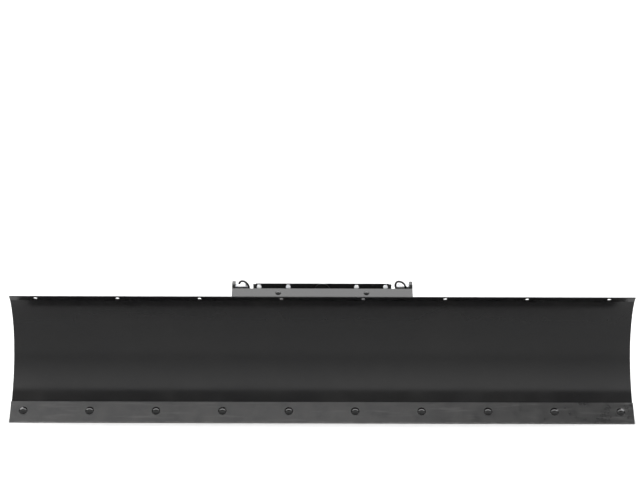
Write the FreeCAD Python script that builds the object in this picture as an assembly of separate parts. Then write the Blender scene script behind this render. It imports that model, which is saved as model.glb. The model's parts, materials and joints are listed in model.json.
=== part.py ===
import FreeCAD, Part
import math
import os

from FreeCAD import Vector

# Spring-trip snow plow blade for a UTV, 72 in wide.
# Drawing axes: X to the right seen from the front, Y to the rear, Z up, all in mm.
# The drawing starts at the cutting edge's front bottom corner. ORIGIN_Y moves it
# so that the origin is the bottom centre of the whole assembly.

# ---- driving dimensions -------------------------------------------------------
WIDTH = 1829.0            # 72 in blade
FIT = 0.05                # radial clearance of bolts, pins and bushings
WELD_GAP = 0.2            # fit-up gap under a weld on a curved surface

LEAN = 32.0               # lean of the cutting edge back from vertical, degrees
WEAR_T = 9.5              # 3/8 in cutting edge
WEAR_FACE = 68.2          # height of the cutting edge along its face
SHEET_T = 3.0             # 11 gauge moldboard
SHEET_START = 14.0        # sheet's lower edge, up the face from the floor corner
FLAT_TOP_Z = 64.0         # where the flat strip ends and the roll starts
LOWER_R = 270.0           # roll below the deepest point
UPPER_R = 210.5           # roll above the deepest point
ROLL_END = 45.0           # where the roll ends, degrees above the deepest point
LIP_ANGLE = 57.0          # direction of the lip's back normal, degrees
LIP_BEND_R = 6.0
LIP_LENGTH = 21.0

FLAP_HOLES = 8            # holes in the lip for a rubber snow flap
FLAP_HOLE_R = 5.5
FLAP_FIRST = 76.2         # first hole from the blade's end
EDGE_BOLTS = 10
EDGE_BOLT_FIRST = 38.1
EDGE_BOLT_UP = 38.8       # up the wear bar's face
EDGE_BOLT_R = 5.0
EDGE_HEAD_R = 13.0
EDGE_HEAD_H = 6.5
EDGE_NECK = 10.0          # square neck of a carriage bolt

BACKING_T = 6.0
BACKING_FROM = 16.0
BACKING_TO = 66.0

EAR_X = 266.5             # outer face of the two centre ribs
RIB_T = 10.0
EAR_Y = 96.0
EAR_Z = 387.5
EAR_R = 22.0
SPRING_BOLT_Y = 98.0
SPRING_BOLT_Z = 393.0
SPRING_BOLT_R = 6.0
RIDGE_Y = 75.0            # top of the folded spring plate
RIDGE_Z = 389.0
SLOPE_RUN = 36.5
FLANGE_LOW = 348.0
PLATE_T = 6.0
PLATE_BOLT_X = 130.0
PLATE_BOLT_R = 5.0
PLATE_BOLT_DOWN = 12.0    # from the ridge down the slope, along Y and along Z
BUMPER_R = 14.0
BUMPER_BOLT_R = 4.0
BUMPER_Z = 361.0

PIVOT_Y = 150.0           # trip axis
PIVOT_Z = 85.0
SHAFT_R = 12.5
TUBE_R = 22.5
BUSH_R = 16.5

ARM_X = 197.0             # inner face of each trip arm
ARM_T = 8.0
BAR_Y = 92.0              # front face of the trip frame's crossbar
BAR_T = 6.0
BAR_TOP = 402.5
BAR_LOW = 345.0
BAR_DEPTH = 32.0
BAR_BOLT_X = (101.0, 187.0)
BAR_BOLT_Z = 392.5
BAR_BOLT_R = 4.0
BAR_BOLT_FLATS = 13.0
BAR_BOLT_HEAD = 5.3
BAR_BOLT_NUT = 6.5
DOUBLER_T = 8.0
LUG_HALF = 25.0
LUG_T = 10.0
LUG_HOLE_R = 11.0
LUG_HOLE_Z = 377.5

KING_Y = 225.0
KING_R = 15.0
UPPER_PLATE_Z = 280.0
SECTOR_Z = 110.0
PLATE_10 = 10.0
SECTOR_R = 170.0
DETENT_R = 140.0
DETENT_STEP = 15.0
DETENT_COUNT = 5
LOCK_R = 8.0
LOCK_TRAVEL = 24.0

BARREL_R = 30.0
BARREL_BORE = 19.0
BEAM_Y = 340.0
BEAM_D = 50.0
BEAM_Z = 150.0
BEAM_H = 60.0
BEAM_HALF = 140.0
BEAM_WALL = 5.0
BEAM_CORNER_R = 5.0
CAP_T = 4.0               # plates that close the beam's ends

CLEVIS_X = 112.0
CLEVIS_GAP = 40.0
EAR_T = 8.0
PUSH_Y = 430.0
PUSH_Z = 180.0
PUSH_R = 9.75             # 3/4 in push-tube pins with clearance
PUSH_EAR_R = 22.0

SPRING_X = 232.0
SPRING_R = 22.0
SPRING_CORE_R = 15.0
WIRE_R = 3.25
HOOK_R = 12.0
SPRING_LOW_Y = 235.0
SPRING_LOW_Z = 130.0
SPRING_END = 34.0         # from a spring bolt to the first coil

SHOE_X = 560.0
SHOE_Y = 185.0
SHOE_R = 60.0
STEM_R = 11.0
SOCKET_R = 17.0
SOCKET_Z = 60.0
SOCKET_H = 70.0
SHOE_TRAVEL = 25.0
SPACER_H = 10.0
SPACER_R = 18.0
GAP = 0.3                 # between bodies that only meet at a stop

END_RIB_X = 890.0
END_RIB_T = 5.0
SHOE_RIB_T = 8.0
TUBE_SIDE = 25.0
TUBE_WALL = 2.5
TUBE_Z = 207.0            # middle of the stiffener tube, behind the deepest point

REAR_Y = PUSH_Y + PUSH_EAR_R
ORIGIN_Y = REAR_Y / 2

X = Vector(1, 0, 0)
Y = Vector(0, 1, 0)
Z = Vector(0, 0, 1)
SIDES = (("left", -1), ("right", 1))


# ---- small helpers ------------------------------------------------------------
def unit(angle):
    """Unit vector in the YZ plane, angle in degrees up from the rear."""
    a = math.radians(angle)
    return Vector(0, math.cos(a), math.sin(a))


def block(x0, x1, y0, y1, z0, z1):
    return Part.makeBox(x1 - x0, y1 - y0, z1 - z0, Vector(x0, y0, z0))


def rod(start, axis, radius, length):
    return Part.makeCylinder(radius, length, start, axis)


def pipe(start, axis, outer, inner, length):
    return rod(start, axis, outer, length).cut(rod(start, axis, inner, length))


def plate_yz(points, x0, x1):
    """A plate of constant thickness with a polygon outline in the YZ plane."""
    corners = [Vector(x0, y, z) for y, z in points]
    outline = Part.makePolygon(corners + corners[:1])
    return Part.Face(outline).extrude(Vector(x1 - x0, 0, 0))


def hexagon(start, axis, flats, length):
    """Hexagonal prism with a chamfer-like turned top, as on a nut or bolt head."""
    side = axis.cross(Z) if abs(axis.z) < 0.9 else axis.cross(X)
    side.normalize()
    across = flats / math.sqrt(3)
    points = []
    for corner in range(7):
        turn = FreeCAD.Rotation(axis, 60.0 * corner)
        points.append(start + turn.multVec(side) * across)
    prism = Part.Face(Part.makePolygon(points)).extrude(axis * length)
    crown = Part.makeCone(across + 0.5 * length, across * 0.9, length, start, axis)
    return prism.common(crown)


def nut(start, axis, flats, length, bore):
    return hexagon(start, axis, flats, length).cut(rod(start, axis, bore + FIT, length))


def washer(start, axis, outer, bore, thickness):
    return pipe(start, axis, outer, bore + FIT, thickness)


def hex_bolt(start, axis, radius, flats, head, length):
    """Head against the start point, shank along the axis."""
    shank = rod(start, axis, radius, length)
    return shank.fuse(hexagon(start, axis * -1, flats, head))


def fuse_all(shapes):
    whole = shapes[0]
    for shape in shapes[1:]:
        whole = whole.fuse(shape)
    return whole.removeSplitter()


def cut_all(shape, tools):
    for tool in tools:
        shape = shape.cut(tool)
    return shape


def edges_along(shape, direction):
    """Straight edges of a shape that run along a direction."""
    found = []
    for edge in shape.Edges:
        if not isinstance(edge.Curve, Part.Line):
            continue
        if abs(abs(edge.tangentAt(edge.FirstParameter).dot(direction)) - 1) < 1e-6:
            found.append(edge)
    return found


def export(name, shapes):
    """Write one node. A list is a group of separate solids."""
    shape = Part.makeCompound(shapes) if isinstance(shapes, list) else shapes
    shape = shape.copy()
    shape.translate(Vector(0, -ORIGIN_Y, 0))
    shape.exportStep("parts/" + name + ".step")


# ---- the blade's profile ------------------------------------------------------
UP_FACE = Vector(0, math.sin(math.radians(LEAN)), math.cos(math.radians(LEAN)))
INTO_FACE = unit(-LEAN)
SHEET_FRONT = INTO_FACE * WEAR_T


def on_face(up, depth):
    """A point up the cutting edge's face and behind it."""
    return UP_FACE * up + INTO_FACE * depth


FLAT_UP = (FLAT_TOP_Z - SHEET_FRONT.z) / UP_FACE.z
FLAT_TOP = on_face(FLAT_UP, WEAR_T)
LOWER_C = FLAT_TOP - INTO_FACE * LOWER_R
UPPER_C = LOWER_C + Y * (LOWER_R - UPPER_R)
BEND_C = UPPER_C + unit(ROLL_END) * (UPPER_R - LIP_BEND_R)
LIP_ALONG = unit(LIP_ANGLE + 90)
LIP_BACK = unit(LIP_ANGLE)
APEX_Y = UPPER_C.y + UPPER_R


def roll_arc(centre, radius, start, end):
    """Arc edge of the rolled sheet between two angles in degrees."""
    middle = (start + end) / 2
    points = [centre + unit(a) * radius for a in (start, middle, end)]
    return Part.Arc(*points).toShape()


def sheet_line(behind):
    """Edges of the sheet's profile from its lower edge to the lip."""
    lip_start = BEND_C + LIP_BACK * (LIP_BEND_R + behind)
    flat = Part.makeLine(on_face(SHEET_START, WEAR_T + behind), FLAT_TOP + INTO_FACE * behind)
    lip = Part.makeLine(lip_start, lip_start + LIP_ALONG * LIP_LENGTH)
    return [
        flat,
        roll_arc(LOWER_C, LOWER_R + behind, -LEAN, 0),
        roll_arc(UPPER_C, UPPER_R + behind, 0, ROLL_END),
        roll_arc(BEND_C, LIP_BEND_R + behind, ROLL_END, LIP_ANGLE),
        lip,
    ]


def spread(count, first):
    """Even places across the blade's width."""
    pitch = (WIDTH - 2 * first) / (count - 1)
    return [-WIDTH / 2 + first + pitch * i for i in range(count)]


FLAP_X = spread(FLAP_HOLES, FLAP_FIRST)
EDGE_X = spread(EDGE_BOLTS, EDGE_BOLT_FIRST)


def square_hole(x, up, side, depth0, depth1):
    """Square bar along the edge bolt's axis."""
    corners = []
    for across, rise in ((-1, -1), (1, -1), (1, 1), (-1, 1)):
        foot = on_face(up + rise * side / 2, depth0)
        corners.append(foot + X * (x + across * side / 2))
    outline = Part.makePolygon(corners + corners[:1])
    return Part.Face(outline).extrude(INTO_FACE * (depth1 - depth0))


def moldboard():
    front = sheet_line(0)
    back = sheet_line(SHEET_T)
    ends = [
        Part.makeLine(front[0].Vertexes[0].Point, back[0].Vertexes[0].Point),
        Part.makeLine(front[-1].Vertexes[-1].Point, back[-1].Vertexes[-1].Point),
    ]
    outline = Part.Wire(Part.__sortEdges__(front + back + ends))
    sheet = Part.Face(outline).extrude(X * WIDTH)
    sheet.translate(X * (-WIDTH / 2))
    lip_middle = BEND_C + LIP_BACK * LIP_BEND_R + LIP_ALONG * (LIP_LENGTH / 2)
    reach = 20.0
    holes = [
        rod(lip_middle + X * x - LIP_BACK * reach, LIP_BACK, FLAP_HOLE_R, 2 * reach)
        for x in FLAP_X
    ]
    bolt_foot = on_face(EDGE_BOLT_UP, 0)
    holes += [
        rod(bolt_foot + X * x, INTO_FACE, EDGE_BOLT_R + FIT, 2 * reach) for x in EDGE_X
    ]
    return cut_all(sheet, holes)


def face_bar(up0, up1, depth0, depth1):
    """Flat bar along the blade, parallel to the cutting edge's face, cut at the floor."""
    corners = [on_face(up0, depth0), on_face(up1, depth0), on_face(up1, depth1), on_face(up0, depth1)]
    outline = Part.makePolygon(corners + corners[:1])
    bar = Part.Face(outline).extrude(X * WIDTH)
    bar.translate(X * (-WIDTH / 2))
    floor_cut = block(-WIDTH, WIDTH, -WEAR_FACE, REAR_Y, -WEAR_FACE, 0)
    return bar.cut(floor_cut)


def wear_bar():
    below = 8.0
    bar = face_bar(-below, WEAR_FACE, 0, WEAR_T)
    necks = [square_hole(x, EDGE_BOLT_UP, EDGE_NECK + 2 * FIT, -1, WEAR_T + 1) for x in EDGE_X]
    return cut_all(bar, necks)


def backing_bar():
    front = WEAR_T + SHEET_T
    bar = face_bar(BACKING_FROM, BACKING_TO, front, front + BACKING_T)
    holes = [
        rod(on_face(EDGE_BOLT_UP, front - 1) + X * x, INTO_FACE, EDGE_BOLT_R + FIT, BACKING_T + 2)
        for x in EDGE_X
    ]
    return cut_all(bar, holes)


WASHER_T = 2.0
EDGE_WASHER_R = 10.0
EDGE_NUT_H = 8.0
EDGE_NUT_FLATS = 16.0
EDGE_STACK = WEAR_T + SHEET_T + BACKING_T


def edge_bolt(x):
    """Carriage bolt: domed head, square neck, round shank."""
    seat = on_face(EDGE_BOLT_UP, 0) + X * x
    dome_r = (EDGE_HEAD_R ** 2 + EDGE_HEAD_H ** 2) / (2 * EDGE_HEAD_H)
    ball = Part.makeSphere(dome_r, seat + INTO_FACE * (dome_r - EDGE_HEAD_H))
    dome = ball.common(rod(seat, INTO_FACE * -1, EDGE_HEAD_R, EDGE_HEAD_H))
    neck = square_hole(x, EDGE_BOLT_UP, EDGE_NECK, 0, WEAR_T - 1)
    shank = rod(seat, INTO_FACE, EDGE_BOLT_R, EDGE_STACK + WASHER_T + EDGE_NUT_H + 3)
    return dome.fuse(neck).fuse(shank)


def edge_washer(x):
    seat = on_face(EDGE_BOLT_UP, EDGE_STACK) + X * x
    return washer(seat, INTO_FACE, EDGE_WASHER_R, EDGE_BOLT_R, WASHER_T)


def edge_nut(x):
    seat = on_face(EDGE_BOLT_UP, EDGE_STACK + WASHER_T) + X * x
    return nut(seat, INTO_FACE, EDGE_NUT_FLATS, EDGE_NUT_H, EDGE_BOLT_R)


# ---- stiffeners and ribs behind the sheet -------------------------------------
BACK = SHEET_T + WELD_GAP
TUBE_Y = APEX_Y + BACK
ANGLE_LOW = 27.0          # where the top angle's toes meet the sheet, degrees
ANGLE_HIGH = 40.0
ANGLE_CORNER = 25.0       # how far its corner stands off the line between the toes
ANGLE_T = 4.0
TOE_LIFT = 0.4            # keeps the flat-cut toes off the curve


def back_of_sheet(angle):
    """A point just behind the sheet, by its angle on the roll."""
    if angle < 0:
        return LOWER_C + unit(angle) * (LOWER_R + BACK)
    return UPPER_C + unit(angle) * (UPPER_R + BACK)


def stiffener_tube():
    half = END_RIB_X - END_RIB_T / 2 - GAP
    outer = block(-half, half, TUBE_Y, TUBE_Y + TUBE_SIDE, TUBE_Z - TUBE_SIDE / 2, TUBE_Z + TUBE_SIDE / 2)
    inner = block(
        -half,
        half,
        TUBE_Y + TUBE_WALL,
        TUBE_Y + TUBE_SIDE - TUBE_WALL,
        TUBE_Z - TUBE_SIDE / 2 + TUBE_WALL,
        TUBE_Z + TUBE_SIDE / 2 - TUBE_WALL,
    )
    return outer.cut(inner)


def angle_points(grow):
    """Outline of the top angle: toe, corner, toe, then back along its inside."""
    out = unit((ANGLE_LOW + ANGLE_HIGH) / 2)
    low = back_of_sheet(ANGLE_LOW) + out * TOE_LIFT
    high = back_of_sheet(ANGLE_HIGH) + out * TOE_LIFT
    along = (high - low).normalize()
    corner = (low + high) / 2 + out * ANGLE_CORNER
    inner_corner = corner - out * (ANGLE_T * math.sqrt(2) + grow)
    points = [
        low - along * grow,
        corner + out * grow,
        high + along * grow,
        high - along * ANGLE_T,
        inner_corner,
        low + along * ANGLE_T,
    ]
    return [(p.y, p.z) for p in points]


def top_angle():
    half = END_RIB_X - END_RIB_T / 2 - GAP
    return plate_yz(angle_points(0), -half, half)


def rib(low, high, rear_points, x0, x1):
    """Upright plate whose front edge follows the sheet's back, notched for the stiffeners."""
    front = []
    if low < 0:
        front.append(roll_arc(LOWER_C, LOWER_R + BACK, low, min(0, high)))
    front.append(roll_arc(UPPER_C, UPPER_R + BACK, 0, high))
    start = back_of_sheet(low)
    end = back_of_sheet(high)
    corners = [end] + [Vector(0, y, z) for y, z in rear_points] + [start]
    rear = [Part.makeLine(a, b) for a, b in zip(corners, corners[1:])]
    outline = Part.Wire(Part.__sortEdges__(front + rear))
    plate = Part.Face(outline).extrude(X * (x1 - x0))
    plate.translate(X * x0)
    slot = FIT + WELD_GAP
    tube_notch = block(
        x0,
        x1,
        APEX_Y,
        TUBE_Y + TUBE_SIDE + slot,
        TUBE_Z - TUBE_SIDE / 2 - slot,
        TUBE_Z + TUBE_SIDE / 2 + slot,
    )
    low_toe, corner, high_toe = angle_points(slot)[:3]
    inside = unit((ANGLE_LOW + ANGLE_HIGH) / 2) * -TUBE_SIDE
    tail = [(toe[0] + inside.y, toe[1] + inside.z) for toe in (high_toe, low_toe)]
    angle_notch = plate_yz([low_toe, corner, high_toe] + tail, x0, x1)
    return plate.cut(tube_notch).cut(angle_notch)


RIB_LOW = -28.0           # ends of an end or shoe rib on the roll, degrees
RIB_HIGH = 44.0
RIB_TOP = (66.0, 349.0)
END_RIB_REAR = ((136.0, 262.0), (136.0, 120.0), (84.0, 62.0))
SHOE_RIB_KNEE = (140.0, 268.0)
SHOE_RIB_HEEL_Z = 150.0
SHOE_RIB_TOE_Y = 84.0


def end_rib(side):
    x = side * END_RIB_X
    rear = [RIB_TOP] + list(END_RIB_REAR)
    return rib(RIB_LOW, RIB_HIGH, rear, x - END_RIB_T / 2, x + END_RIB_T / 2)


def shoe_rib(side):
    """Rib whose rear edge carries the skid shoe's socket."""
    x = side * SHOE_X
    rear_y = SHOE_Y - SOCKET_R + 5
    low_z = SOCKET_Z + 2
    rear = [RIB_TOP, SHOE_RIB_KNEE, (rear_y, SHOE_RIB_HEEL_Z), (rear_y, low_z), (SHOE_RIB_TOE_Y, low_z)]
    plate = rib(RIB_LOW, RIB_HIGH, rear, x - SHOE_RIB_T / 2, x + SHOE_RIB_T / 2)
    socket_room = rod(Vector(x, SHOE_Y, 0), Z, SOCKET_R + WELD_GAP, REAR_Y)
    spacer_room = rod(Vector(x, SHOE_Y, SOCKET_Z + SOCKET_H), Z, SPACER_R + 2, REAR_Y)
    return cut_all(plate, [socket_room, spacer_room])


CENTRE_RIB_LOW = -29.0
CENTRE_RIB_HIGH = 43.0
EAR_FRONT = (79.5, 398.0)
EAR_REAR = (118.0, 387.0)
CENTRE_RIB_REAR = ((128.0, 330.0), (182.0, 120.0), (182.0, 62.0), (120.0, 48.0), (86.0, 56.0))
BOSS_R = 38.0
RIB_HOLE_AT = (132.0, 150.0)
RIB_HOLE_R = 18.0


def centre_rib(side):
    """Side plate with the rounded ear for the trip spring and the trip shaft's bore."""
    x0 = min(side * EAR_X, side * (EAR_X - RIB_T))
    rear = [EAR_FRONT, EAR_REAR] + list(CENTRE_RIB_REAR)
    plate = rib(CENTRE_RIB_LOW, CENTRE_RIB_HIGH, rear, x0, x0 + RIB_T)
    ear = rod(Vector(x0, EAR_Y, EAR_Z), X, EAR_R, RIB_T)
    boss = rod(Vector(x0, PIVOT_Y, PIVOT_Z), X, BOSS_R, RIB_T)
    whole = fuse_all([plate, ear, boss])
    holes = [
        rod(Vector(x0, PIVOT_Y, PIVOT_Z), X, SHAFT_R + FIT, RIB_T),
        rod(Vector(x0, SPRING_BOLT_Y, SPRING_BOLT_Z), X, SPRING_BOLT_R + FIT, RIB_T),
        rod(Vector(x0, *RIB_HOLE_AT), X, RIB_HOLE_R, RIB_T),
    ]
    return cut_all(whole, holes + [slope_room(x0, x0 + RIB_T)])


SLOPE_OUT = unit(135)
SLOPE_BACK = PLATE_T * math.sqrt(2)   # the slope's thickness measured along Z
SLOPE_FOOT = Vector(0, RIDGE_Y - SLOPE_RUN, RIDGE_Z - SLOPE_RUN)


def slope_room(x0, x1):
    """The space in front of the spring plate's back, where the ribs are cut away."""
    high = RIDGE_Z + 2 * EAR_R
    rear = RIDGE_Y + FIT
    line = RIDGE_Z - SLOPE_BACK - 2 * FIT
    points = [(rear, high), (rear, line), (rear - 2 * SLOPE_RUN, line - 2 * SLOPE_RUN), (0, high)]
    return plate_yz(points, x0, x1)


def spring_plate():
    """Folded plate: a slope laid over the ribs, facing up and forward, and a flange between them."""
    slope = [
        (SLOPE_FOOT.y, SLOPE_FOOT.z),
        (RIDGE_Y, RIDGE_Z),
        (RIDGE_Y, RIDGE_Z - SLOPE_BACK),
        (SLOPE_FOOT.y + SLOPE_BACK / 2, SLOPE_FOOT.z - SLOPE_BACK / 2),
    ]
    half = EAR_X - RIB_T - FIT
    rear_y = RIDGE_Y + PLATE_T
    flange = block(-half, half, RIDGE_Y, rear_y, FLANGE_LOW, RIDGE_Z)
    plate = fuse_all([plate_yz(slope, -EAR_X, EAR_X), flange])
    reach = 20.0
    holes = [
        rod(plate_bolt_seat(s) - SLOPE_OUT * reach, SLOPE_OUT, PLATE_BOLT_R + FIT, 2 * reach)
        for _, s in SIDES
    ]
    holes += [
        rod(Vector(s * PLATE_BOLT_X, RIDGE_Y - 1, BUMPER_Z), Y, BUMPER_BOLT_R + FIT, reach)
        for _, s in SIDES
    ]
    room = LUG_HALF + PLATE_T
    holes.append(block(-room, room, RIDGE_Y, rear_y + 1, FLANGE_LOW - 1, RIDGE_Z - PLATE_T))
    return cut_all(plate, holes)


def plate_bolt_seat(side):
    return Vector(side * PLATE_BOLT_X, RIDGE_Y - PLATE_BOLT_DOWN, RIDGE_Z - PLATE_BOLT_DOWN)


def plate_bolt(side):
    """Button-head bolt tapped into the slope."""
    seat = plate_bolt_seat(side)
    head_r = 8.5
    head_h = 5.0
    ball_r = (head_r ** 2 + head_h ** 2) / (2 * head_h)
    ball = Part.makeSphere(ball_r, seat + SLOPE_OUT * (head_h - ball_r))
    head = ball.common(rod(seat, SLOPE_OUT, head_r, head_h))
    shank = rod(seat, SLOPE_OUT * -1, PLATE_BOLT_R, PLATE_T + 1)
    return head.fuse(shank)


BUMPER_RECESS = 6.0       # depth of the recess for the bolt's head
BUMPER_HEAD_R = 7.0
BUMPER_HEAD_H = 3.5


def bumper(side):
    """Rubber stop between the spring plate's flange and the trip frame's crossbar."""
    start = Vector(side * PLATE_BOLT_X, RIDGE_Y + PLATE_T, BUMPER_Z)
    length = BAR_Y - GAP - start.y
    pad = pipe(start, Y, BUMPER_R, BUMPER_BOLT_R + FIT, length)
    return pad.cut(rod(start + Y * (length - BUMPER_RECESS), Y, BUMPER_HEAD_R + 1, BUMPER_RECESS))


def bumper_bolt(side):
    """Bolt that holds a bumper on the flange, its head sunk in the rubber."""
    nut_h = 5.0
    start = Vector(side * PLATE_BOLT_X, RIDGE_Y - nut_h - 3, BUMPER_Z)
    seat = Vector(start.x, BAR_Y - GAP - BUMPER_RECESS, BUMPER_Z)
    shank = rod(start, Y, BUMPER_BOLT_R, seat.y - start.y)
    head = rod(seat, Y, BUMPER_HEAD_R, BUMPER_HEAD_H)
    retaining_nut = hexagon(Vector(start.x, RIDGE_Y - nut_h, BUMPER_Z), Y, 13.0, nut_h)
    return fuse_all([shank, head, retaining_nut])


SPRING_NUT_FLATS = 18.0
THIN_NUT_H = 5.5
HOOK_ROOM = 22.5          # between the two thin nuts on a spring bolt


def upper_spring_bolt(side):
    """Stud through the ear, with a nut against it and a nut that keeps the spring's hook on."""
    outer = Vector(side * EAR_X, SPRING_BOLT_Y, SPRING_BOLT_Z)
    inward = X * -side
    seat = RIB_T + FIT
    end_seat = seat + THIN_NUT_H + HOOK_ROOM
    stud = rod(outer, inward, SPRING_BOLT_R, end_seat + THIN_NUT_H + 2)
    lock_nut = hexagon(outer + inward * seat, inward, SPRING_NUT_FLATS, THIN_NUT_H)
    end_nut = hexagon(outer + inward * end_seat, inward, SPRING_NUT_FLATS, THIN_NUT_H)
    return fuse_all([stud, lock_nut, end_nut])


# ---- trip shaft ---------------------------------------------------------------
SHAFT_HALF = 292.0
SHAFT_WASHER = 3.0
SHAFT_WASHER_R = 22.0
SHAFT_NUT = 19.0
SHAFT_NUT_FLATS = 36.0


def trip_shaft():
    return rod(Vector(-SHAFT_HALF, PIVOT_Y, PIVOT_Z), X, SHAFT_R, 2 * SHAFT_HALF)


def shaft_washer(side):
    seat = Vector(side * EAR_X, PIVOT_Y, PIVOT_Z)
    return washer(seat, X * side, SHAFT_WASHER_R, SHAFT_R, SHAFT_WASHER)


def shaft_nut(side):
    seat = Vector(side * (EAR_X + SHAFT_WASHER), PIVOT_Y, PIVOT_Z)
    return nut(seat, X * side, SHAFT_NUT_FLATS, SHAFT_NUT, SHAFT_R)


# ---- skid shoes ---------------------------------------------------------------
UPPER_SPACERS = 2
LOWER_SPACERS = 3
HUB_TOP = 30.0
PIN_R = 4.0
PIN_Z = SOCKET_Z + SOCKET_H + UPPER_SPACERS * SPACER_H + SHOE_TRAVEL + PIN_R + 0.5
PIN_INNER = 17.0          # how far the cross pin reaches past the stem's middle
PIN_OUTER = 26.0
RING_AT = 22.0            # the pin's ring hangs here, clear of the spacers
RING_R = 13.0
RING_WIRE_R = 1.75
STEM_TOP = PIN_Z + 16.0
# half profile of the dished foot, radius and height
FOOT_PROFILE = (
    (0, 0), (42, 0), (SHOE_R, 14), (SHOE_R - 3, 20), (40, 9), (24, 10), (SPACER_R, HUB_TOP), (0, HUB_TOP),
)


def shoe_socket(side):
    foot = Vector(side * SHOE_X, SHOE_Y, SOCKET_Z)
    return pipe(foot, Z, SOCKET_R, STEM_R + FIT, SOCKET_H)


def upper_spacer(side, index):
    foot = Vector(side * SHOE_X, SHOE_Y, SOCKET_Z + SOCKET_H + index * SPACER_H)
    return pipe(foot, Z, SPACER_R, STEM_R + FIT, SPACER_H)


def lower_spacer(side, index):
    height = (SOCKET_Z - GAP - HUB_TOP) / LOWER_SPACERS
    foot = Vector(side * SHOE_X, SHOE_Y, HUB_TOP + index * height)
    return pipe(foot, Z, SPACER_R, STEM_R + FIT, height)


def skid_shoe(side):
    """Dished round foot with a hub and a stem that slides in the socket."""
    corners = [Vector(r, 0, z) for r, z in FOOT_PROFILE]
    face = Part.Face(Part.makePolygon(corners + corners[:1]))
    foot = face.revolve(Vector(0, 0, 0), Z, 360)
    stem = rod(Vector(0, 0, 1), Z, STEM_R, STEM_TOP - 1)
    shoe = foot.fuse(stem).cut(rod(X * -SPACER_R + Z * PIN_Z, X, PIN_R + FIT, 2 * SPACER_R))
    shoe.translate(Vector(side * SHOE_X, SHOE_Y, 0))
    return shoe


def lynch_pin(side):
    """Cross pin with a ring hanging from its outer end."""
    start = Vector(side * (SHOE_X - PIN_INNER), SHOE_Y, PIN_Z)
    pin = rod(start, X * side, PIN_R, PIN_INNER + PIN_OUTER)
    hang = Vector(side * (SHOE_X + RING_AT), SHOE_Y, PIN_Z - RING_R)
    return pin.fuse(Part.makeTorus(RING_R, RING_WIRE_R, hang, X))


# ---- trip frame ---------------------------------------------------------------
TUBE_HALF = 253.0
BUSH_FLANGE = 3.0
BUSH_LENGTH = 40.0


def trip_pivot_tube():
    return pipe(Vector(-TUBE_HALF, PIVOT_Y, PIVOT_Z), X, TUBE_R, BUSH_R, 2 * TUBE_HALF)


def pivot_bushing(side):
    mouth = Vector(side * TUBE_HALF, PIVOT_Y, PIVOT_Z)
    sleeve = pipe(mouth, X * -side, BUSH_R, SHAFT_R + FIT, BUSH_LENGTH)
    flange = pipe(mouth, X * side, TUBE_R - 1, SHAFT_R + FIT, BUSH_FLANGE)
    return sleeve.fuse(flange)


ARM_TOP = BAR_TOP - 2
ARM_FRONT = ((118.0, 85.0), (126.0, 180.0), (126.0, 228.0))
ARM_REAR = (
    (124.0, 350.0), (168.0, 292.0), (178.0, 200.0), (250.0, 150.0),
    (258.0, 124.0), (244.0, 104.0), (150.0, 51.0),
)
ARM_NECK_Z = 320.0        # where the arm's front edge meets the crossbar
ARM_HEAD_Y = 116.0
ARM_LOBE_R = 34.0
ARM_HOLES = ((152.0, 160.0), (138.0, 268.0))
ARM_HOLE_R = 15.0
PAD_W = 24.0
PAD_LOW = 355.0


def trip_arm(side):
    """Upright side plate of the trip frame, with a pad that the crossbar bolts to."""
    x0 = min(side * ARM_X, side * (ARM_X + ARM_T))
    back = BAR_Y + BAR_T
    head = ((back, ARM_NECK_Z), (back, ARM_TOP), (ARM_HEAD_Y, ARM_TOP))
    plate = plate_yz(ARM_FRONT + head + ARM_REAR, x0, x0 + ARM_T)
    lobe = rod(Vector(x0, PIVOT_Y, PIVOT_Z), X, ARM_LOBE_R, ARM_T)
    pad_x = sorted((side * (ARM_X - PAD_W), side * (ARM_X + 1)))
    pad = block(pad_x[0], pad_x[1], back, back + DOUBLER_T, PAD_LOW, ARM_TOP)
    whole = fuse_all([plate, lobe, pad])
    holes = [
        rod(Vector(x0, PIVOT_Y, PIVOT_Z), X, TUBE_R, ARM_T),
        rod(Vector(x0, SPRING_LOW_Y, SPRING_LOW_Z), X, SPRING_BOLT_R + FIT, ARM_T),
        rod(Vector(side * BAR_BOLT_X[1], BAR_Y, BAR_BOLT_Z), Y, BAR_BOLT_R + FIT, BAR_DEPTH),
    ]
    holes += [rod(Vector(x0, y, z), X, ARM_HOLE_R, ARM_T) for y, z in ARM_HOLES]
    return cut_all(whole, holes)


def bar_bolt_places():
    return [side * x for _, side in SIDES for x in BAR_BOLT_X]


def bar_holes(places):
    """Bolt holes through the crossbar and what backs it, and the hole behind the lift lug."""
    reach = 2 * (BAR_T + DOUBLER_T)
    holes = [rod(Vector(x, BAR_Y - 1, BAR_BOLT_Z), Y, BAR_BOLT_R + FIT, reach) for x in places]
    return holes + [rod(Vector(0, BAR_Y - 1, LUG_HOLE_Z), Y, LUG_HOLE_R + 1, reach)]


def crossbar():
    """Angle bar across the top of the trip frame, upright leg in front."""
    half = ARM_X - FIT
    back = BAR_Y + BAR_T
    upright = block(-half, half, BAR_Y, back, BAR_LOW, BAR_TOP)
    foot_half = ARM_X - PAD_W - 2
    foot = block(-foot_half, foot_half, BAR_Y, BAR_Y + BAR_DEPTH, BAR_LOW, BAR_LOW + BAR_T)
    whole = fuse_all([upright, foot])
    return cut_all(whole, bar_holes(bar_bolt_places()))


def crossbar_doubler():
    """Backing strip behind the crossbar that spreads the lift lug's load."""
    half = BAR_BOLT_X[0] + 15
    back = BAR_Y + BAR_T
    strip = block(-half, half, back, back + DOUBLER_T, BAR_LOW + BAR_T + 4, ARM_TOP)
    return cut_all(strip, bar_holes([s * BAR_BOLT_X[0] for _, s in SIDES]))


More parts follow.
